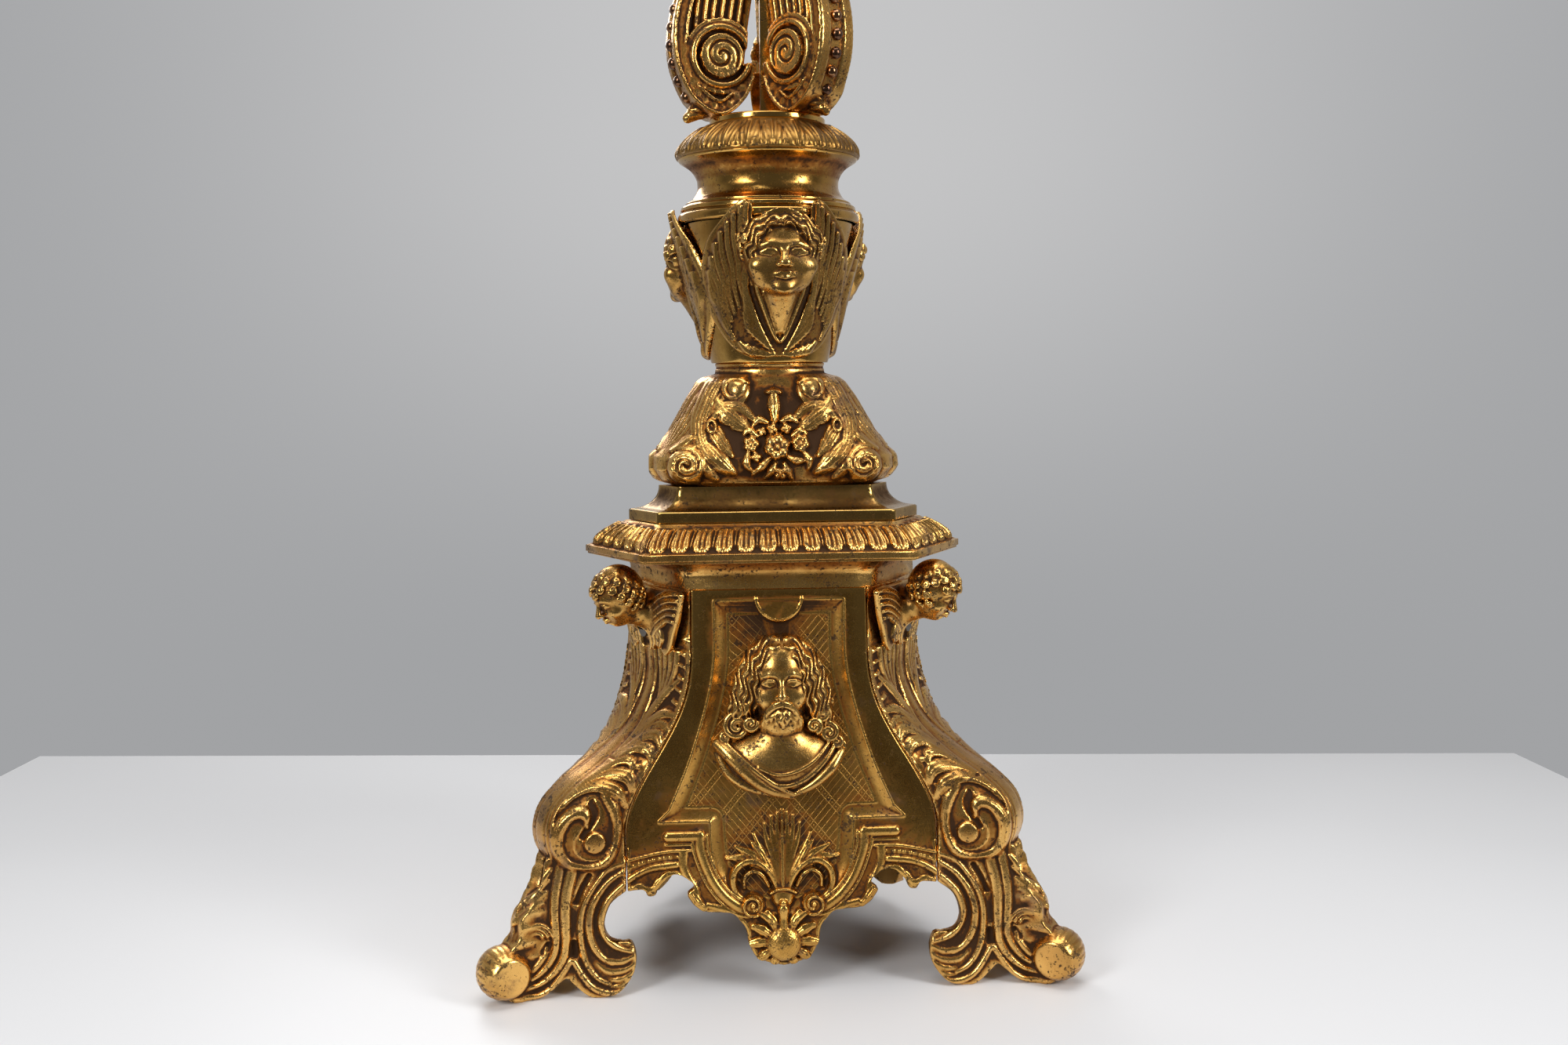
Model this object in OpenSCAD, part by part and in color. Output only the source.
// Torchere candle stand: three-sided cast base, stacked stem and pricket drip pan.
// Millimetres, +Z up. The front side panel faces -Y.

/* [Base] */
// Height of the side panels, floor to the cornice
base_h = 205; // [198:1:212]
// Distance of a panel's face from the axis, at the floor
face_foot = 82; // [80:0.5:84]
// Distance of a panel's face from the axis, at the cornice
face_top = 63; // [62:0.5:65]
// Half width of a panel at the cornice
panel_top_half = 45; // [43:0.5:46]
// Half width of a panel at its widest, above the feet
panel_foot_half = 79.5; // [78:0.5:80]
// Thickness of a cast panel
wall = 5; // [4.5:0.1:5.5]
// Depth of the sunk field in a panel
field_deep = 2.4; // [2:0.1:2.8]
// Distance of a toe roll from the axis
toe_reach = 164; // [161:0.5:166]
// Radius of a toe roll
toe_r = 13.5; // [12:0.5:14]

/* [Cornice and plinth] */
// Distance of the cornice's long edge from the axis
cornice_side = 76; // [74:0.5:78]
// Distance of the cornice's cut corner from the axis
cornice_corner = 97.5; // [95:0.5:99]
// Height of the cornice's upright edge
cornice_edge = 5; // [4:0.5:6]
// Leaves along one long side of the cornice
leaf_count = 9; // [7:1:11]
// Distance of the plinth's long side from the axis
plinth_side = 53.3; // [52:0.5:55]
// Distance of the plinth's cut corner from the axis
plinth_corner = 79.6; // [78:0.5:81]

/* [Stem] */
// Reach of the calyx foot's lower volutes from the axis
calyx_reach = 70; // [68:0.5:71]
// Radius of the cup at its mouth
cup_mouth_r = 45.5; // [44.5:0.5:46]
// Radius of the cup at its foot
cup_foot_r = 31; // [30:0.5:32]
// Turn of the three winged heads about the axis, from the base's sides
cup_turn = 5; // [-10:1:10]
// Radius of the leaf collar's lip
collar_r = 49.4; // [48:0.2:51]
// Turn of the scroll brackets about the axis, from the base's corners
scroll_turn = -19; // [-25:1:25]
// Side of the square tie rod
rod_side = 7.5; // [7:0.1:8]

/* [Upper stem and pan] */
// Height of the vase knop
vase_h = 112; // [105:1:120]
// Greatest radius of the vase knop
vase_r = 41; // [38:1:44]
// Height of the tapered shaft
shaft_h = 120; // [100:1:140]
// Radius of the drip pan
pan_r = 66; // [60:1:72]
// Straight shank of the pricket, its radius
pricket_r = 4; // [3.5:0.1:4.5]
// Straight shank of the pricket, its length
pricket_shank = 16; // [12:1:20]
// Length of the pricket's point
pricket_point = 52; // [45:1:60]

/* [Fasteners and clearances] */
// Radius of a cherub screw's slotted head
screw_head_r = 4.3; // [3.9:0.1:4.6]
// Radius of every screw's, pin's and rivet's shank
shank_r = 2; // [1.8:0.1:2.2]
// Clearance around a shank in its hole, on the radius
shank_gap = 0.15; // [0.1:0.05:0.25]
// Clearance between a cast panel and a corner console
seam_gap = 0.3; // [0.2:0.05:0.4]
// Clearance around the rod's corners in each stacked piece's bore
rod_gap = 0.3; // [0.2:0.05:0.5]

/* [Hidden] */
$fn = 48;
toe_lift = 1.5;
toe_half = 11.6;
toe_front = (toe_reach + toe_r / 2) / 2 + toe_half * sin(60);
axis_y = -(toe_reach + toe_r - toe_front) / 2;
lean = atan((face_foot - face_top) / base_h);
console_top = base_h;
seam_s = base_h * 0.345;
field_top = base_h * 0.975;
bore_r = rod_side * sqrt(2) / 2 + rod_gap;

cove_h = 15;
cove_band = 6;
cornice_z = base_h + cove_h;
slope_h = 13;
plinth_z = cornice_z + cornice_edge + slope_h;
plinth_band = 6;
plinth_cove = 12;
calyx_z = plinth_z + plinth_band + plinth_cove;
calyx_h = 64;
calyx_neck_r = 29.7;
cup_z = calyx_z + calyx_h;
cup_h = 74;
neck_z = cup_z + cup_h;
neck_h = 34;
collar_z = neck_z + neck_h;
collar_h = 17.5;
disc_z = collar_z + collar_h;
disc_h = 4;
disc_r = 31;
scroll_z = disc_z + disc_h;
scroll_h = 124;
upper_z = scroll_z + scroll_h;
upper_h = 12;
vase_z = upper_z + upper_h;
knop_z = vase_z + vase_h;
knop_h = 16;
shaft_z = knop_z + knop_h;
capital_z = shaft_z + shaft_h;
capital_h = 46;
pan_z = capital_z + capital_h;
pan_h = 16;
pan_floor = 4;
seat_z = pan_z + pan_floor;

spider_z = base_h - 50;
spider_h = 6;
lug_h = 8;
nut_h = 7;
washer_h = 2;
rod_low = spider_z - washer_h - nut_h - 6;
rod_high = seat_z + 12;
rod_end_r = 3.4;

face_x = panel_foot_half - panel_top_half;
rim_flat = 74.5;
cherub_screw_z = base_h - 23;

function clamp(x) = min(1, max(0, x));
function smooth(x) = clamp(x) * clamp(x) * (3 - 2 * clamp(x));
function mix(a, b, t) = a + (b - a) * t;

// Catmull-Rom curve through a few points.
function spline(p, n) = concat(
  [for (i = [0:len(p) - 2], k = [0:n - 1])
    let (a = p[max(i - 1, 0)], b = p[i], c = p[i + 1], d = p[min(i + 2, len(p) - 1)], t = k / n)
    ((2 * b) + (c - a) * t + (2 * a - 5 * b + 4 * c - d) * t * t
      + (3 * b - a - 3 * c + d) * t * t * t) / 2],
  [p[len(p) - 1]]);

function back(p) = [for (i = [len(p) - 1:-1:0]) p[i]];

// Half outline completed by its mirror image in x.
function both(p) = concat(p, [for (q = back(p)) if (abs(q[0]) > 0.001) [-q[0], q[1]]]);

// Six-sided plan with its corners cut: a from the axis to a long side, b to a cut corner.
function cut_triangle(a, b) =
  let (h = (b - a / 2) / sin(60))
  [for (k = [0:2], s = [-1, 1])
    let (t = 120 * k)
    [s * h * cos(t) + a * sin(t), s * h * sin(t) - a * cos(t)]];

// Ring of points blended from a rounded three-lobed plan to a circle.
function lobe_ring(side, corner, n) =
  [for (i = [0:n - 1])
    let (t = 360 * i / n, w = (1 + cos(3 * t)) / 2)
    mix(side, corner, pow(w, 1.3)) * [cos(t + 90), sin(t + 90)]];

function lift(ring, z) = [for (p = ring) [p[0], p[1], z]];

// Solid skinned over rings of equal point count, lowest first.
module loft(rings) {
  n = len(rings[0]);
  m = len(rings);
  sides = [for (j = [0:m - 2], i = [0:n - 1], h = [0, 1])
    let (a = j * n + i, b = j * n + (i + 1) % n)
    h == 0 ? [a, a + n, b] : [b, a + n, b + n]];
  low = [for (i = [0:n - 1]) i];
  high = [for (i = [n - 1:-1:0]) (m - 1) * n + i];
  polyhedron(points = [for (r = rings) each r], faces = concat([low], [high], sides), convexity = 8);
}

module on_axis() {
  translate([0, axis_y, 0])
    children();
}

module at_face(k) {
  rotate(120 * k)
    children();
}

// +X points out along a base corner.
module at_corner(k) {
  rotate(120 * k - 30)
    children();
}

// A drawing in x and height, laid on the leaning face with +Z outward.
module on_panel() {
  translate([0, -face_foot, 0])
    rotate([90 - lean, 0, 0])
      children();
}

// ---- Base panels ----

function panel_half(s) =
  panel_top_half + face_x * pow(smooth((0.86 - s / base_h) / 0.46), 1.35);

function panel_edge(low, n, out) =
  [for (i = [0:n]) let (s = mix(low, base_h * 1.01, i / n)) [panel_half(s) + out, s]];

arch_line = spline([[79.2, 53.5], [71, 54], [69, 50.5], [65, 51], [62.5, 56], [55.5, 61.5],
  [47.5, 58], [45.5, 54.5], [49, 51], [46.5, 46.5], [41, 42], [33, 41], [26, 40.5], [21, 35],
  [19, 31], [18, 25], [14, 17.5], [7, 14.5], [0, 13]], 3);

field_side = spline([[33, field_top], [33, 171], [37, 148], [46.5, 118], [57, 93.5]], 4);
shield_side = spline([[38, 88], [37.5, 82], [35, 73], [29, 62], [20, 49], [9, 40], [0, 38]], 3);
field_line = concat(field_side, [[62, 88.5]], shield_side);

module panel_outline() {
  polygon(both(concat(back(panel_edge(seam_s, 24, 0)), arch_line)));
}

module field_outline() {
  difference() {
    polygon(both(field_line));
    translate([0, field_top])
      circle(r = 13);
  }
}

module mirrored() {
  children();
  mirror([1, 0, 0])
    children();
}

screw_at = [base_h * 0.9, base_h * 0.5];

module panel() {
  difference() {
    intersection() {
      union() {
        on_panel()
          translate([0, 0, -wall])
            linear_extrude(wall)
              panel_outline();
        on_panel()
          panel_relief();
      }
      translate([-100, -150, 0])
        cube([200, 150, base_h]);
    }
    on_panel() {
      translate([0, 0, -field_deep])
        linear_extrude(field_deep + 0.01)
          difference() {
            field_outline();
            translate([0, 36])
              palmette();
          }
      for (s = screw_at)
        mirrored()
          translate([panel_half(s) - 6, s, -wall - 0.01])
            cylinder(r = shank_r + shank_gap, h = 3.4, $fn = 24);
      bust_rivet_holes();
    }
  }
}

// Palmette that fills the shield below the bust.
module palmette() {
  leaf = spline([[0, 0], [2.4, 8], [1.4, 18], [4.6, 30], [3.2, 42], [0, 50]], 4);
  side = spline([[1, 2], [8, 6], [10, 14], [17, 20], [15.5, 26], [9, 23], [4, 14], [1, 8]], 4);
  polygon(both(leaf));
  mirrored()
    polygon(side);
}

// Bead, small scrolls and pendant flower standing above the panel's face.
module panel_relief() {
  bead = spline([[40, 85], [39.5, 80], [37, 71.5], [31, 60], [22, 46.5], [15, 41]], 3);
  mirrored() {
    linear_extrude(1.2)
      polygon(concat(bead, [for (i = [len(bead) - 1:-1:0]) bead[i] + [1.9, -1.2]]));
    linear_extrude(1.2)
      translate([40, 83])
        square([16, 2]);
    translate([17, 45, -1])
      cylinder(r = 5.4, h = 4.4, $fn = 32);
    translate([17, 45, 0])
      cylinder(r = 2.2, h = 4.6, $fn = 24);
  }
  translate([0, 45, -1])
    cylinder(r = 4.6, h = 5, $fn = 32);
  translate([0, 25, -1])
    flower();
}

module flower() {
  linear_extrude(3.6)
    for (a = [0:60:300])
      translate([10.5 * cos(a), 6 * sin(a)])
        circle(r = 4.8, $fn = 24);
  cylinder(r = 5, h = 6.4, $fn = 32);
}

// ---- Corner consoles ----

rim_line = spline([[rim_flat, base_h + 1], [rim_flat, base_h * 0.93], [rim_flat, base_h * 0.856],
  [77.6, base_h * 0.8415], [77.4, base_h * 0.78], [80.4, base_h * 0.722], [90, base_h * 0.6415],
  [108, 117.5], [126, 107], [138, 96.5], [142, 84], [139.5, 72], [132, 62]], 5);
rim_keys = [for (i = [len(rim_line) - 1:-1:0]) [rim_line[i][1], rim_line[i][0]]];

function rim_r(z) = lookup(z, rim_keys);
function rim_half(z) = mix(9, 4.5, smooth((z - 85) / 75));

// Section of the hollow corner casting at one height, x outward.
function console_ring(z) =
  let (
    s = z / cos(lean),
    v = face_foot - s * sin(lean),
    w = panel_half(s) + seam_gap,
    a = [w * sin(60) + v / 2, v * sin(60) - w / 2],
    back = wall + 3.1,
    a2 = a - back * [0.5, sin(60)],
    b = [rim_r(z), rim_half(z)],
    c = mix(a, b, 0.62) + 1.6 * smooth((150 - z) / 40) * [1, 1],
    hollow = smooth((z - 66) / 10),
    b2 = mix([a2[0] + 1, a2[1] * 0.6], [b[0] - 6, max(b[1] - 3.4, 1.2)], hollow))
  [[a2[0], -a2[1], z], [a[0], -a[1], z], [c[0], -c[1], z], [b[0], -b[1], z],
    [b[0], b[1], z], [c[0], c[1], z], [a[0], a[1], z], [a2[0], a2[1], z],
    [b2[0], b2[1], z], [b2[0], -b2[1], z]];

function spiral(r0, r1, turns, start, n) =
  [for (i = [0:n])
    let (t = i / n, a = start + 360 * turns * t)
    mix(r0, r1, t) * [cos(a), sin(a)]];

// Raised spiral rib with its flat top towards +Z.
module spiral_rib(r0, r1, turns, start, thick, high) {
  n = 28;
  outer = spiral(r0, r1, turns, start, n);
  inner = spiral(r0 - thick * 0.4, r1 - thick, turns, start, n);
  linear_extrude(high)
    polygon(concat(outer, [for (i = [n:-1:0]) inner[i]]));
}

foot_line = spline([[121, 69], [123.5, 57], [133, 50], [138, 41], [137, 24], [140, 11],
  [136, 1], [130, -0.5], [122, 1.5], [114, 7.5], [110.5, 10], [107, 7], [100, 1], [93, -0.5],
  [83.5, 3], [77, 11], [75.2, 20], [77.5, 27.5], [82.5, 28], [88.5, 30], [91.2, 37],
  [88, 47], [81, 52.8]], 3);

// A drawing on the panel beside this corner, in the corner's own frame.
module beside() {
  rotate(30)
    on_panel()
      children();
}

module foot_plate() {
  beside()
    translate([0, 0, -wall])
      linear_extrude(wall)
        polygon(concat([[panel_foot_half + seam_gap, seam_s - 0.2], [119, seam_s + 3]], foot_line,
          [[panel_foot_half + seam_gap, 53.4]]));
}

module foot_scroll() {
  beside() {
    translate([93, 17, -0.5])
      spiral_rib(5, 17, 1.15, 190, 4.4, 3);
    translate([88, 19.5, -0.5])
      cylinder(r = 4.6, h = 3.6, $fn = 32);
    translate([124, 15, -0.5])
      spiral_rib(4, 15, 0.62, -60, 3.8, 3);
  }
}

module toe() {
  profile = spline([[0, toe_half + 0.2], [toe_r / 2, toe_half], [toe_r * 0.78, 9], [toe_r, 0]], 3);
  translate([toe_reach, 0, toe_r + toe_lift])
    rotate([90, 0, 0])
      rotate_extrude()
        polygon(concat(profile, [for (q = back(profile)) if (q[1] > 0.001) [q[0], -q[1]]]));
}

// Volute on the console's leaf-clad side face.
module side_volute() {
  translate([121.5, -17.3, 80])
    rotate([90, 0, 22.5]) {
      translate([0, 0, -1])
        spiral_rib(5, 17.5, 1.6, 110, 4.6, 4.2);
      translate([0, 0, -1.4])
        cylinder(r = 5, h = 5.4, $fn = 32);
    }
}

module console_side() {
  foot_plate();
  foot_scroll();
  side_volute();
  beside()
    translate([0, 0, -wall - 3.1])
      lap_strip();
}

// Strip behind the panel's edge, bored for the panel's screws.
module lap_strip() {
  edge = [for (i = [0:12]) let (s = mix(seam_s + 4, base_h * 0.97, i / 12)) [panel_half(s), s]];
  difference() {
    linear_extrude(3)
      polygon(concat([for (p = back(edge)) p - [12, 0]], [for (p = edge) p + [1.4, 0]]));
    for (s = screw_at)
      translate([panel_half(s) - 6, s, -1])
        cylinder(r = shank_r + shank_gap, h = 5, $fn = 24);
  }
}

module console() {
  difference() {
    intersection() {
      union() {
        loft([for (i = [0:36]) console_ring(mix(64, console_top, i / 36))]);
        console_side();
        mirror([0, 1, 0])
          console_side();
        // Leg and toe on the corner.
        rotate([90, 0, 0])
          linear_extrude(15, center = true)
            polygon([[124, 70], [133, 66], [139, 56], [150, 49], [157, 40], [157, 28],
              [toe_reach, toe_r * 1.6], [toe_reach, 3], [150, 0], [141, 0], [138, 24],
              [134, 42], [122, 58]]);
        toe();
        // Lug the spider pulls up on.
        translate([56, -10, spider_z + spider_h])
          cube([rim_flat - 4 - 56, 20, lug_h]);
      }
      translate([0, -150, 0])
        cube([200, 300, console_top]);
    }
    translate([60, 0, cherub_screw_z])
      rotate([0, 90, 0])
        cylinder(r = shank_r + shank_gap, h = 30, $fn = 24);
  }
}

// ---- Cherubs on the corners ----

cherub_z = base_h - 4.1;
cherub_plate = 4;

// Wing that runs from the head's side to the plate's upper corner.
module cherub_wing(m) {
  for (k = [0:2])
    hull() {
      translate([86 - 3 * k, m * 7, cherub_z - 5 - 4 * k])
        sphere(r = 4.6, $fn = 16);
      translate([78.5, m * (24.5 - 2 * k), cherub_z - 0.6 - 5 * k])
        sphere(r = 3, $fn = 16);
    }
}

module cherub() {
  half = [for (p = spline([[0, 33], [6, 34], [10, 30], [16, 35.5], [21, 33], [27, 21], [32, 8],
    [32.5, 1.5], [22, 0.5], [10, 2], [0, 1]], 3)) [p[0], base_h - p[1]]];
  difference() {
    union() {
      translate([rim_flat, 0, 0])
        rotate([90, 0, 90])
          linear_extrude(cherub_plate)
            polygon(both(half));
      translate([rim_flat + 2, 0, cherub_z - 9])
        rotate([0, 62, 0])
          cylinder(r1 = 12, r2 = 8, h = 16, $fn = 36);
      for (m = [-1, 1])
        cherub_wing(m);
      translate([95, 0, cherub_z])
        sphere(r = 13.2, $fn = 36);
      translate([93.5, 0, cherub_z + 4.5])
        sphere(r = 12.2, $fn = 36);
      translate([107.3, 0, cherub_z - 3])
        sphere(r = 2.2, $fn = 16);
    }
    translate([60, 0, cherub_screw_z])
      rotate([0, 90, 0])
        cylinder(r = shank_r + shank_gap, h = 18, $fn = 24);
    translate([rim_flat + cherub_plate, 0, cherub_screw_z])
      rotate([0, 90, 0])
        cylinder(r = screw_head_r + 0.3, h = 12, $fn = 32);
  }
}

// Screw along +X with its head's seat at the origin.
module slotted_screw(head_r, head_h, length) {
  difference() {
    rotate([0, 90, 0])
      cylinder(r = head_r, h = head_h, $fn = 32);
    translate([head_h * 0.5, -head_r - 1, -0.55])
      cube([head_h, 2 * head_r + 2, 1.1]);
  }
  translate([-length, 0, 0])
    rotate([0, 90, 0])
      cylinder(r = shank_r, h = length + 0.2, $fn = 24);
}

// ---- Relief bust ----

bust_z = base_h * 0.776;
bust_back = -field_deep;
rivet_s = [bust_z - 8, bust_z - 42];

module bust_rivet_holes() {
  for (s = rivet_s)
    translate([0, s, -wall - 1])
      cylinder(r = shank_r + shank_gap, h = wall + 1, $fn = 24);
}

// Egg with its long axis along +Y.
module egg(w, h) {
  rotate([-90, 0, 0])
    rotate_extrude($fn = 36)
      polygon(spline([[0, -h], [w * 0.72, -h * 0.7], [w, 0], [w * 0.68, h * 0.74], [0, h]], 4));
}

module bust_body() {
  hood = spline([[0, 21], [9, 19.5], [16, 12], [19.5, 0], [21, -14], [23, -26]], 4);
  robe = spline([[23, -28], [31, -35], [33, -41], [27, -50], [15, -58], [0, -61]], 4);
  translate([0, 0, bust_back])
    linear_extrude(5)
      polygon(both(concat(hood, robe)));
  intersection() {
    translate([0, 0, bust_back])
      linear_extrude(30)
        polygon(both(concat([[0, -22], [18, -24]], robe)));
    translate([0, -40, -32])
      sphere(r = 44, $fn = 72);
  }
  translate([0, 0, 2])
    egg(13.5, 17);
  translate([0, -20, 1])
    egg(10, 13);
  translate([0, -2, 14.5])
    rotate([-72, 0, 0])
      cylinder(r1 = 1.6, r2 = 2.6, h = 8, center = true, $fn = 24);
  mirrored()
    for (i = [0:4])
      translate([15.2 + 1.1 * i, 6 - 8 * i, 2])
        sphere(r = 4.4, $fn = 24);
}

module bust() {
  difference() {
    on_panel()
      translate([0, bust_z, 0])
        bust_body();
    on_panel() {
      translate([-60, 0, bust_back - 30])
        cube([120, 220, 30]);
      for (s = rivet_s)
        translate([0, s, bust_back - 1])
          cylinder(r = shank_r, h = 5, $fn = 24);
    }
  }
}

module rivet() {
  translate([0, 0, -wall - 1.6])
    cylinder(r1 = 3, r2 = 3.6, h = 1.6, $fn = 32);
  translate([0, 0, -wall - 0.1])
    cylinder(r = shank_r, h = wall - field_deep + 4.1, $fn = 24);
}

// ---- Cornice and plinth ----

module cut_plate(a, b, z, h) {
  translate([0, 0, z])
    linear_extrude(h)
      polygon(cut_triangle(a, b));
}

module rod_bore(z, h) {
  translate([0, 0, z - 1])
    cylinder(r = bore_r, h = h + 2, $fn = 36);
}

module cornice() {
  band_in = 0.4 + cove_band * tan(lean);
  cove = concat([lift(cut_triangle(face_top - 0.4, 71.5), base_h)],
    [for (i = [0:8]) let (t = i / 8)
      lift(cut_triangle(face_top - band_in + 10.4 * (1 - cos(90 * t)), 71.5 + 14 * (1 - cos(90 * t))),
        base_h + cove_band + (cove_h - cove_band) * sin(90 * t))]);
  slope = [for (q = [[2, 0], [6, 0.35], [13, 0.7], [18.5, 0.9], [20.5, 1]])
    lift(cut_triangle(cornice_side - q[0], cornice_corner - q[0] * 0.84),
      cornice_z + cornice_edge + slope_h * q[1])];
  difference() {
    union() {
      loft(cove);
      cut_plate(cornice_side, cornice_corner, cornice_z, cornice_edge);
      loft(slope);
      for (k = [0:2]) {
        at_face(k)
          leaf_row(cornice_side, long_half, leaf_count);
        at_face(k + 0.5)
          leaf_row(cornice_corner, short_half, floor(leaf_count * short_half / long_half));
      }
    }
    rod_bore(base_h, plinth_z - base_h);
    translate([0, 0, base_h - 1])
      linear_extrude(plinth_z - base_h - 3)
        polygon(cut_triangle(face_top - 15, 56));
  }
}

long_half = (cornice_corner - cornice_side / 2) / sin(60);
short_half = (cornice_side - cornice_corner / 2) / sin(60);

// Water leaves lying on the cornice's sloping moulding.
module leaf_row(reach, half, count) {
  pitch = 2 * half / count;
  leaf = spline([[0, 0], [pitch * 0.44, 1.2], [pitch * 0.42, 7], [pitch * 0.26, 11], [0, 12.5]], 2);
  for (i = [0:count - 1])
    translate([(i - (count - 1) / 2) * pitch, -reach + 1.2, cornice_z + cornice_edge - 0.3])
      rotate([42, 0, 0])
        linear_extrude(2)
          polygon(both(leaf));
}

module plinth() {
  cove = [for (i = [0:6]) let (t = i / 6)
    lift(cut_triangle(plinth_side - 2 - 10 * sin(90 * t), plinth_corner - 2 - 13.5 * sin(90 * t)),
      plinth_z + plinth_band + plinth_cove * (1 - cos(90 * t)))];
  difference() {
    union() {
      cut_plate(plinth_side, plinth_corner, plinth_z, plinth_band);
      loft(cove);
    }
    rod_bore(plinth_z, plinth_band + plinth_cove);
    translate([0, 0, plinth_z - 1])
      linear_extrude(plinth_band + plinth_cove - 4)
        polygon(cut_triangle(34, 50));
  }
}

// ---- Calyx foot ----

// Height, reach at the faces and reach at the corners.
calyx_rows = [[0, 42, 60], [3, 45, 66], [9, 46.5, calyx_reach], [15, 46, calyx_reach - 1],
  [20, 44, calyx_reach - 5.5], [27, 41, 59], [36, 38.5, 52.5], [46, 35.5, 46], [54, 33, 40],
  [58, 31, 33], [59, calyx_neck_r, calyx_neck_r], [calyx_h, calyx_neck_r, calyx_neck_r]];

module calyx() {
  inner = [[-1, 34, 50], [10, 37, 60], [20, 36, 54], [34, 31, 42], [46, 27, 34], [52, 22, 24]];
  difference() {
    union() {
      loft([for (r = calyx_rows) lift(lobe_ring(r[1], r[2], 60), calyx_z + r[0])]);
      for (k = [0:2]) {
        at_face(k)
          garland();
        at_corner(k)
          for (m = [0, 1])
            mirror([0, m, 0])
              calyx_volutes();
      }
    }
    loft([for (r = inner) lift(lobe_ring(r[1], r[2], 60), calyx_z + r[0])]);
    rod_bore(calyx_z, calyx_h);
  }
}

module calyx_volutes() {
  translate([61, 16, calyx_z + 11])
    rotate([90, 0, 150]) {
      spiral_rib(3, 9.5, 1.4, 150, 3, 4.6);
      cylinder(r = 3, h = 5, $fn = 24);
    }
  translate([29, 20, calyx_z + 49])
    rotate([64, 0, 150]) {
      cylinder(r = 6.6, h = 3.6, $fn = 32);
      cylinder(r = 3, h = 4.6, $fn = 24);
    }
}

module garland() {
  translate([0, -36, calyx_z + 44])
    rotate([74, 0, 0])
      translate([-2.2, -14, -2])
        cube([4.4, 16, 4]);
  for (p = [[0, 25, 7], [-11, 23, 5], [12, 25, 5], [-8, 15, 4.4], [9, 15, 4.4], [0, 33, 4.6], [0, 13, 4.8]])
    translate([p[0], -41.5 - (30 - p[1]) * 0.16, calyx_z + p[1]])
      sphere(r = p[2] * 0.95, $fn = 20);
}

// ---- Cup with winged heads ----

cup_line = [[0, cup_foot_r], [3, cup_foot_r + 1.4], [26, 37.2], [50, cup_mouth_r - 4], [cup_h, cup_mouth_r]];

module cup() {
  difference() {
    translate([0, 0, cup_z])
      rotate_extrude($fn = 72)
        polygon(concat([for (p = cup_line) [p[1], p[0]]], [for (p = back(cup_inner)) [p[1], p[0]]],
          [[0, 6], [0, 0]]));
    rod_bore(cup_z, 8);
    mask_holes();
  }
}

mask_pin_z = [cup_z + 20, cup_z + 44];

function cup_r(z) = lookup(z - cup_z, cup_line);

module mask_holes() {
  for (k = [0:2], z = mask_pin_z)
    rotate(120 * k + cup_turn - 90)
      translate([20, 0, z])
        rotate([0, 90, 0])
          cylinder(r = shank_r + shank_gap, h = 40, $fn = 24);
}

mask_thick = 3.2;
mask_line = [[0.5, 32.2], [3, 32.6], [26, 37.2], [52, 44], [80, 50.2]];
cup_inner = [[6, 24], [26, 32], [50, cup_mouth_r - 7.5], [cup_h, cup_mouth_r - 3.5]];

module mask() {
  wing = spline([[4, 3], [12, 2], [24, 9], [34, 26], [38.5, 46], [37, 62], [30, 73],
    [21, 82], [15.5, 79], [16, 66], [12.5, 54], [13, 40], [8, 26], [0, 12]], 3);
  difference() {
    union() {
      intersection() {
        rotate_extrude($fn = 72)
          polygon(concat([for (p = mask_line) [p[1], cup_z + p[0]]],
            [for (p = back(mask_line)) [p[1] + mask_thick, cup_z + p[0]]]));
        union() {
          translate([0, 0, cup_z])
            rotate([90, 0, 0])
              linear_extrude(80)
                polygon(both(wing));
          translate([-14, -70, cup_z + 14])
            cube([28, 70, 60]);
        }
      }
      translate([0, -47, cup_z + 55])
        rotate([82, 0, 0])
          egg(13.5, 20);
      translate([0, -59.6, cup_z + 51])
        rotate([-16, 0, 0])
          cylinder(r1 = 2.5, r2 = 1.5, h = 8, center = true, $fn = 24);
      translate([0, -42.8, cup_z + 29])
        rotate([10, 0, 0])
          cylinder(r1 = 3, r2 = 7, h = 14, center = true, $fn = 32);
    }
    translate([0, 0, cup_z - 1])
      rotate_extrude($fn = 72)
        polygon(concat([[0, -1]], [for (p = mask_line) [p[1] - 0.02, p[0] + 1]], [[0, 84]]));
    for (z = mask_pin_z)
      translate([0, 0, z])
        rotate([90, 0, 0])
          cylinder(r = shank_r, h = lookup(z - cup_z, mask_line) + 2.2, $fn = 24);
  }
}

module mask_pin(z) {
  start = lookup(z - cup_z, cup_inner) - 1.5;
  translate([start, 0, z])
    rotate([0, 90, 0])
      cylinder(r = shank_r, h = lookup(z - cup_z, mask_line) + 2.2 - start, $fn = 24);
}

// ---- Turned neck, leaf collar and disc ----

module turned(z, pts, n) {
  translate([0, 0, z])
    rotate_extrude($fn = n)
      polygon(pts);
}

module neck() {
  cove = spline([[44.6, 10.4], [40.5, 13], [38, 18], [38.4, 24], [42, 29.5], [47, 33]], 4);
  difference() {
    turned(neck_z, concat([[0, 0], [47.4, 0], [48.8, 1.6], [48.8, 4.4], [46.6, 5.6], [46.4, 8.6],
      [44.8, 9.4]], cove, [[collar_r - 1.2, neck_h], [0, neck_h]]), 96);
    turned(neck_z - 1, [[0, 0], [34, 0], [33, 26], [20, 32], [0, 32]], 48);
    rod_bore(neck_z, neck_h);
  }
  // Spigot that centres the neck in the cup's mouth.
  difference() {
    turned(neck_z - 4, [[34, 0], [cup_mouth_r - 4.6, 0], [cup_mouth_r - 4.2, 4.2], [34, 4.2]], 72);
    translate([0, 0, neck_z - 5])
      cylinder(r = 34, h = 6);
  }
}

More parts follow.
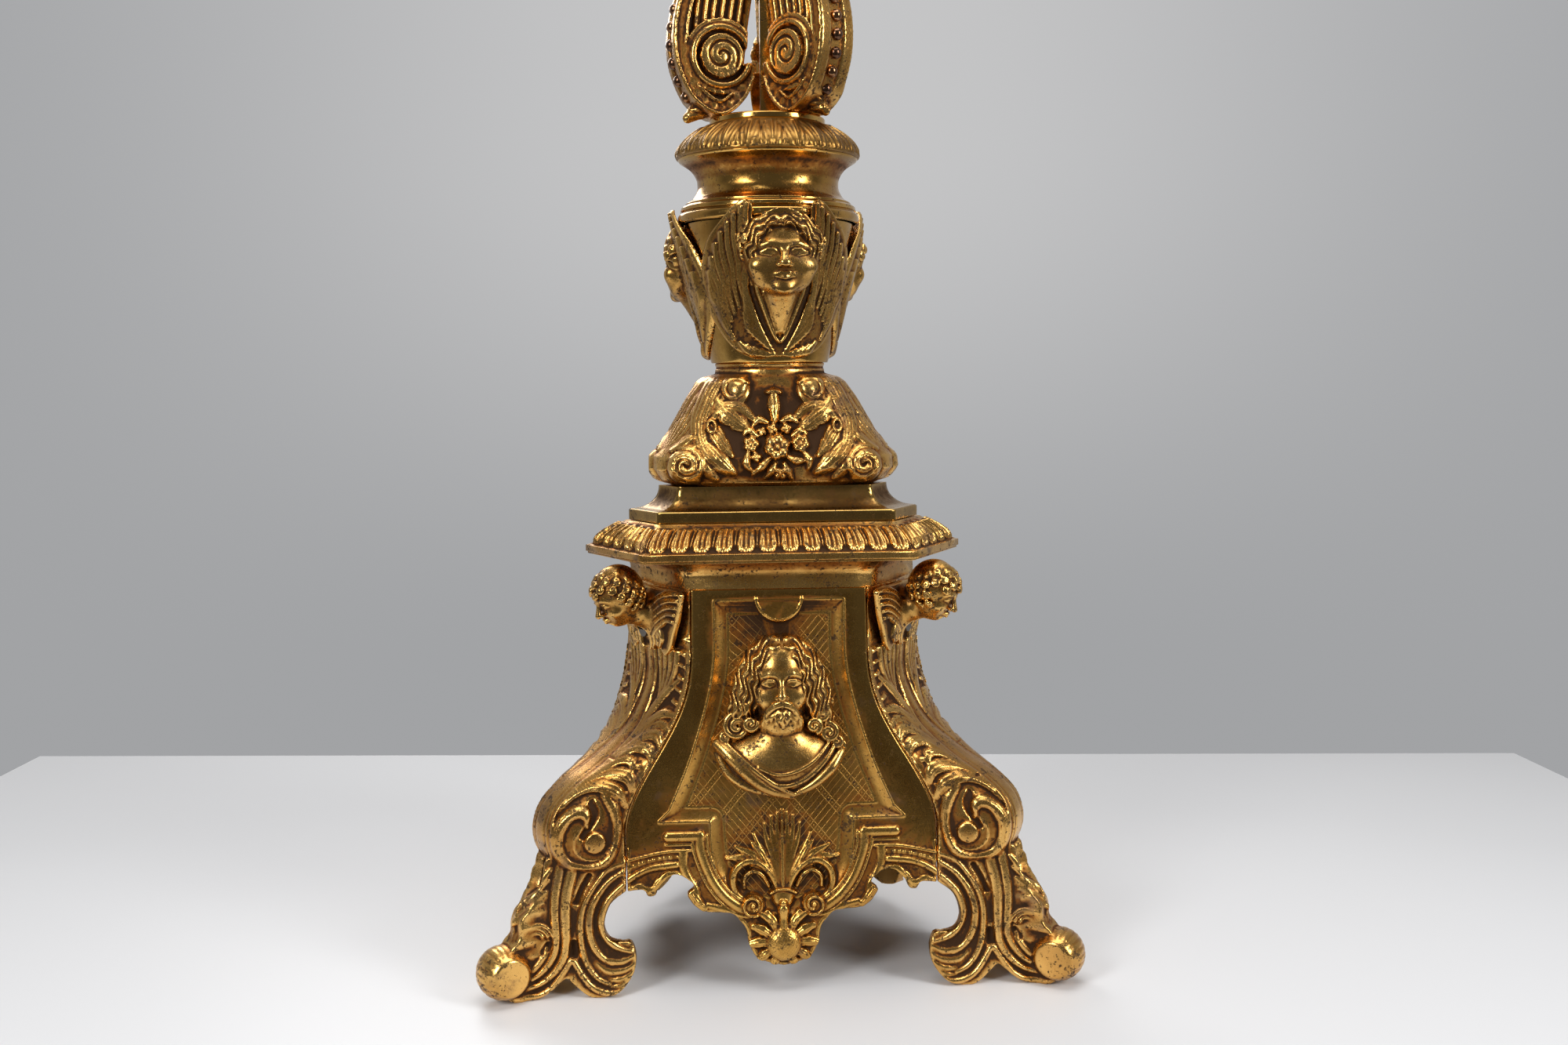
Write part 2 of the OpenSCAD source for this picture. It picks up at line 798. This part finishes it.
module collar() {
  dome = spline([[collar_r, 1.4], [collar_r - 1.6, 5], [44, 10], [39, 13.8], [33.5, 16.4]], 2);
  difference() {
    turned(collar_z, concat([[0, 0], [collar_r - 0.8, 0]], dome, [[32, collar_h], [0, collar_h]]), 96);
    for (i = [0:17])
      rotate(20 * i)
        translate([49.2, 0, collar_z + 4])
          rotate([0, -40, 0])
            cylinder(r = 1, h = 24, center = true, $fn = 16);
    rod_bore(collar_z, collar_h);
  }
}

module disc() {
  difference() {
    turned(disc_z, [[0, 0], [disc_r - 1, 0], [disc_r, 1], [disc_r, disc_h - 0.8], [disc_r - 1, disc_h],
      [0, disc_h]], 96);
    rod_bore(disc_z, disc_h);
    on_brackets()
      translate([27, 0, disc_z - 1])
        cylinder(r = shank_r + shank_gap, h = disc_h + 2, $fn = 24);
  }
}

// ---- Beaded scroll brackets ----

module on_brackets() {
  for (k = [0:2])
    at_corner(k)
      rotate(scroll_turn)
        children();
}

scroll_eye = [27, 30];
scroll_half = 12.5;

scroll_back = spline([[8, 27], [13.5, 10], [27, -0.5], [42, 7], [50, 22], [52.5, 38], [50, 56],
  [43, 74], [33, 92], [25, 110], [25, scroll_h + 1]], 5);
scroll_front = spline([[15, scroll_h + 1], [17, 108], [26, 88], [36, 70], [43, 54], [45.5, 38],
  [43, 24], [37.5, 13], [27, 9], [18, 14], [14.5, 27]], 5);
web_line = spline([[14.5, 27], [12, 46], [9, 66], [8, 88], [11, 108], [15, scroll_h + 1]], 4);

module cut_across(width) {
  rotate([90, 0, 0])
    linear_extrude(width, center = true)
      children();
}

module bracket() {
  curl_out = spiral(19, 15, 0.75, 180, 20);
  curl_in = spiral(15.5, 10, 0.75, 180, 20);
  difference() {
    union() {
      cut_across(2 * scroll_half)
        polygon(concat(scroll_back, scroll_front));
      cut_across(2 * scroll_half - 7)
        polygon(concat(scroll_back, back(web_line)));
      cut_across(2 * scroll_half + 3)
        translate(scroll_eye)
          circle(r = 10.5);
      cut_across(2 * scroll_half)
        translate(scroll_eye)
          polygon(concat(curl_out, back(curl_in)));
      for (i = [0:8])
        let (t = 14 + 3.4 * i, n = floor(t), p = mix(scroll_back[n], scroll_back[n + 1], t - n))
          translate([p[0], 0, p[1]])
            sphere(r = 3.4, $fn = 20);
      // Leaf tip under the volute.
      translate([36, 0, 4.5])
        rotate([0, 128, 0])
          cylinder(r1 = 5, r2 = 2, h = 11, $fn = 24);
    }
    translate([-10, -50, -20])
      cube([43.5, 100, 20]);
    translate([-10, -50, scroll_h])
      cube([100, 100, 20]);
    translate([27, 0, -1])
      cylinder(r = shank_r + shank_gap, h = 9, $fn = 24);
    translate([20, 0, scroll_h - 8])
      cylinder(r = shank_r + shank_gap, h = 9, $fn = 24);
  }
}

// ---- Upper stem ----

module upper_disc() {
  difference() {
    turned(upper_z, [[0, 0], [29, 0], [31, 1.5], [31, 4.5], [28.5, 6], [26, 7.5], [25, upper_h],
      [0, upper_h]], 72);
    rod_bore(upper_z, upper_h);
    on_brackets()
      translate([20, 0, upper_z - 1])
        cylinder(r = shank_r + shank_gap, h = 7, $fn = 24);
  }
}

module vase() {
  body = spline([[15, 0], [17.5, 3], [17, 8], [20, 14], [28, 24], [36, 36], [vase_r - 1, 50], [vase_r, 62],
    [vase_r - 3, 74], [30, 86], [20, 95], [15.5, 102], [15.5, 107], [17, vase_h]], 4);
  inner = spline([[10, 8], [13, 16], [22, 28], [30, 40], [vase_r - 5, 56], [vase_r - 6, 68], [26, 82],
    [13, 94], [9, 100]], 4);
  difference() {
    turned(vase_z, concat([[0, 0]], body, [[0, vase_h]]), 72);
    turned(vase_z, concat([[0, 8]], inner, [[0, 100]]), 48);
    rod_bore(vase_z, vase_h);
  }
}

module knop() {
  bead = spline([[17, 2], [22.5, 4], [24, knop_h / 2], [22.5, knop_h - 4], [16, knop_h - 2]], 4);
  difference() {
    turned(knop_z, concat([[0, 0], [17, 0]], bead, [[15.5, knop_h], [0, knop_h]]), 72);
    rod_bore(knop_z, knop_h);
  }
}

module shaft() {
  difference() {
    turned(shaft_z, [[0, 0], [15.2, 0], [16.4, 1.2], [16.4, 3.4], [14, 5], [14.4, 8],
      [12.2, shaft_h - 8], [14.8, shaft_h - 5], [14.8, shaft_h - 1], [14, shaft_h], [0, shaft_h]], 72);
    for (i = [0:11])
      rotate(30 * i)
        translate([14.6, 0, shaft_z + 12])
          rotate([0, -1.1, 0])
            cylinder(r = 2, h = shaft_h - 26, $fn = 20);
    rod_bore(shaft_z, shaft_h);
  }
}

module capital() {
  bell = spline([[15, 3], [14, 8], [15.5, 16], [22, 27], [31, 35], [33, 39]], 4);
  difference() {
    turned(capital_z, concat([[0, 0], [14.5, 0]], bell, [[33, capital_h - 4], [30, capital_h],
      [0, capital_h]]), 72);
    rod_bore(capital_z, capital_h);
  }
}

module drip_pan() {
  under = spline([[24, 0], [38, 1.5], [pan_r - 12, 6], [pan_r - 2, 12], [pan_r, pan_h]], 4);
  over = spline([[pan_r - 2.2, pan_h], [pan_r - 5, 13], [pan_r - 14, 8.6], [38, 5.2], [22, pan_floor]], 4);
  difference() {
    turned(pan_z, concat([[0, 0]], under, over, [[0, pan_floor]]), 96);
    rod_bore(pan_z, pan_floor);
  }
}

// Spike that screws down on the rod's end and clamps the whole stack.
module pricket() {
  flange = 11;
  flange_h = 14;
  difference() {
    turned(seat_z, [[0, 0], [flange, 0], [flange, 3], [7.4, 6], [6.4, flange_h], [pricket_r, flange_h],
      [pricket_r, flange_h + pricket_shank], [0.5, flange_h + pricket_shank + pricket_point],
      [0, flange_h + pricket_shank + pricket_point]], 48);
    translate([0, 0, seat_z - 1])
      cylinder(r = rod_end_r, h = 14, $fn = 32);
  }
}

// ---- Tie rod and what it pulls on ----

module tie_rod() {
  square_z = spider_z + spider_h + 6;
  translate([-rod_side / 2, -rod_side / 2, square_z])
    cube([rod_side, rod_side, seat_z - 1 - square_z]);
  translate([0, 0, rod_low])
    cylinder(r = rod_end_r, h = square_z + 1 - rod_low, $fn = 32);
  translate([0, 0, seat_z - 2])
    cylinder(r = rod_end_r, h = rod_high - seat_z + 2, $fn = 32);
}

module spider() {
  difference() {
    union() {
      translate([0, 0, spider_z])
        cylinder(r = 16, h = spider_h);
      for (k = [0:2])
        at_corner(k)
          translate([0, -8, spider_z])
            cube([66, 16, spider_h]);
    }
    translate([0, 0, spider_z - 1])
      cylinder(r = rod_end_r + 0.3, h = spider_h + 2, $fn = 32);
  }
}

module washer() {
  difference() {
    translate([0, 0, spider_z - washer_h])
      cylinder(r = 9, h = washer_h, $fn = 36);
    translate([0, 0, spider_z - washer_h - 1])
      cylinder(r = rod_end_r + 0.3, h = washer_h + 2, $fn = 32);
  }
}

module rod_nut() {
  difference() {
    translate([0, 0, spider_z - washer_h - nut_h])
      cylinder(r = 7.5, h = nut_h, $fn = 6);
    translate([0, 0, spider_z - washer_h - nut_h - 1])
      cylinder(r = rod_end_r, h = nut_h + 2, $fn = 32);
  }
}

// ---- Nodes ----

module panel_front() {
  color("goldenrod") on_axis() at_face(0) panel();
}

module panel_right() {
  color("goldenrod") on_axis() at_face(1) panel();
}

module panel_left() {
  color("goldenrod") on_axis() at_face(2) panel();
}

module console_right() {
  color("darkgoldenrod") on_axis() at_corner(0) console();
}

module console_back() {
  color("darkgoldenrod") on_axis() at_corner(1) console();
}

module console_left() {
  color("darkgoldenrod") on_axis() at_corner(2) console();
}

module cherub_right() {
  color("gold") on_axis() at_corner(0) cherub();
}

module cherub_back() {
  color("gold") on_axis() at_corner(1) cherub();
}

module cherub_left() {
  color("gold") on_axis() at_corner(2) cherub();
}

module cherub_screws() {
  color("dimgray") on_axis()
    for (k = [0:2])
      at_corner(k)
        translate([rim_flat + cherub_plate, 0, cherub_screw_z])
          slotted_screw(screw_head_r, 2.6, 8);
}

module panel_screws() {
  color("dimgray") on_axis()
    for (k = [0:2])
      at_face(k)
        on_panel()
          for (s = screw_at)
            mirrored()
              translate([panel_half(s) - 6, s, -wall - 3.1])
                rotate([0, 90, 0])
                  slotted_screw(3.6, 2.2, 6);
}

module bust_front() {
  color("gold") on_axis() at_face(0) bust();
}

module bust_right() {
  color("gold") on_axis() at_face(1) bust();
}

module bust_left() {
  color("gold") on_axis() at_face(2) bust();
}

module bust_rivets() {
  color("dimgray") on_axis()
    for (k = [0:2])
      at_face(k)
        on_panel()
          for (s = rivet_s)
            translate([0, s, 0])
              rivet();
}

module base_cornice() {
  color("goldenrod") on_axis() cornice();
}

module base_plinth() {
  color("darkgoldenrod") on_axis() plinth();
}

module calyx_foot() {
  color("gold") on_axis() calyx();
}

module stem_cup() {
  color("goldenrod") on_axis() cup();
}

module mask_front() {
  color("gold") on_axis() rotate(cup_turn) mask();
}

module mask_right() {
  color("gold") on_axis() rotate(cup_turn + 120) mask();
}

module mask_left() {
  color("gold") on_axis() rotate(cup_turn + 240) mask();
}

module mask_pins() {
  color("dimgray") on_axis()
    for (k = [0:2], z = mask_pin_z)
      rotate(120 * k + cup_turn - 90)
        mask_pin(z);
}

module turned_neck() {
  color("goldenrod") on_axis() neck();
}

module leaf_collar() {
  color("darkgoldenrod") on_axis() collar();
}

module stem_disc() {
  color("gold") on_axis() disc();
}

module bracket_at(k) {
  on_axis()
    at_corner(k)
      rotate(scroll_turn)
        translate([0, 0, scroll_z])
          bracket();
}

module bracket_right() {
  color("gold") bracket_at(0);
}

module bracket_back() {
  color("gold") bracket_at(1);
}

module bracket_left() {
  color("gold") bracket_at(2);
}

module bracket_pins() {
  color("dimgray") on_axis()
    on_brackets() {
      translate([27, 0, scroll_z - 3])
        cylinder(r = shank_r, h = 10, $fn = 24);
      translate([20, 0, upper_z - 7])
        cylinder(r = shank_r, h = 12, $fn = 24);
    }
}

module upper_plate() {
  color("goldenrod") on_axis() upper_disc();
}

module vase_knop() {
  color("gold") on_axis() vase();
}

module bead_knop() {
  color("goldenrod") on_axis() knop();
}

module fluted_shaft() {
  color("darkgoldenrod") on_axis() shaft();
}

module bell_capital() {
  color("gold") on_axis() capital();
}

module wax_pan() {
  color("goldenrod") on_axis() drip_pan();
}

module pricket_spike() {
  color("darkgoldenrod") on_axis() pricket();
}

module rod() {
  color("dimgray") on_axis() tie_rod();
}

module rod_spider() {
  color("dimgray") on_axis() spider();
}

module rod_washer() {
  color("dimgray") on_axis() washer();
}

module hex_nut() {
  color("dimgray") on_axis() rod_nut();
}

panel_front();
panel_right();
panel_left();
console_right();
console_back();
console_left();
cherub_right();
cherub_back();
cherub_left();
cherub_screws();
panel_screws();
bust_front();
bust_right();
bust_left();
bust_rivets();
base_cornice();
base_plinth();
calyx_foot();
stem_cup();
mask_front();
mask_right();
mask_left();
mask_pins();
turned_neck();
leaf_collar();
stem_disc();
bracket_right();
bracket_back();
bracket_left();
bracket_pins();
upper_plate();
vase_knop();
bead_knop();
fluted_shaft();
bell_capital();
wax_pan();
pricket_spike();
rod();
rod_spider();
rod_washer();
hex_nut();
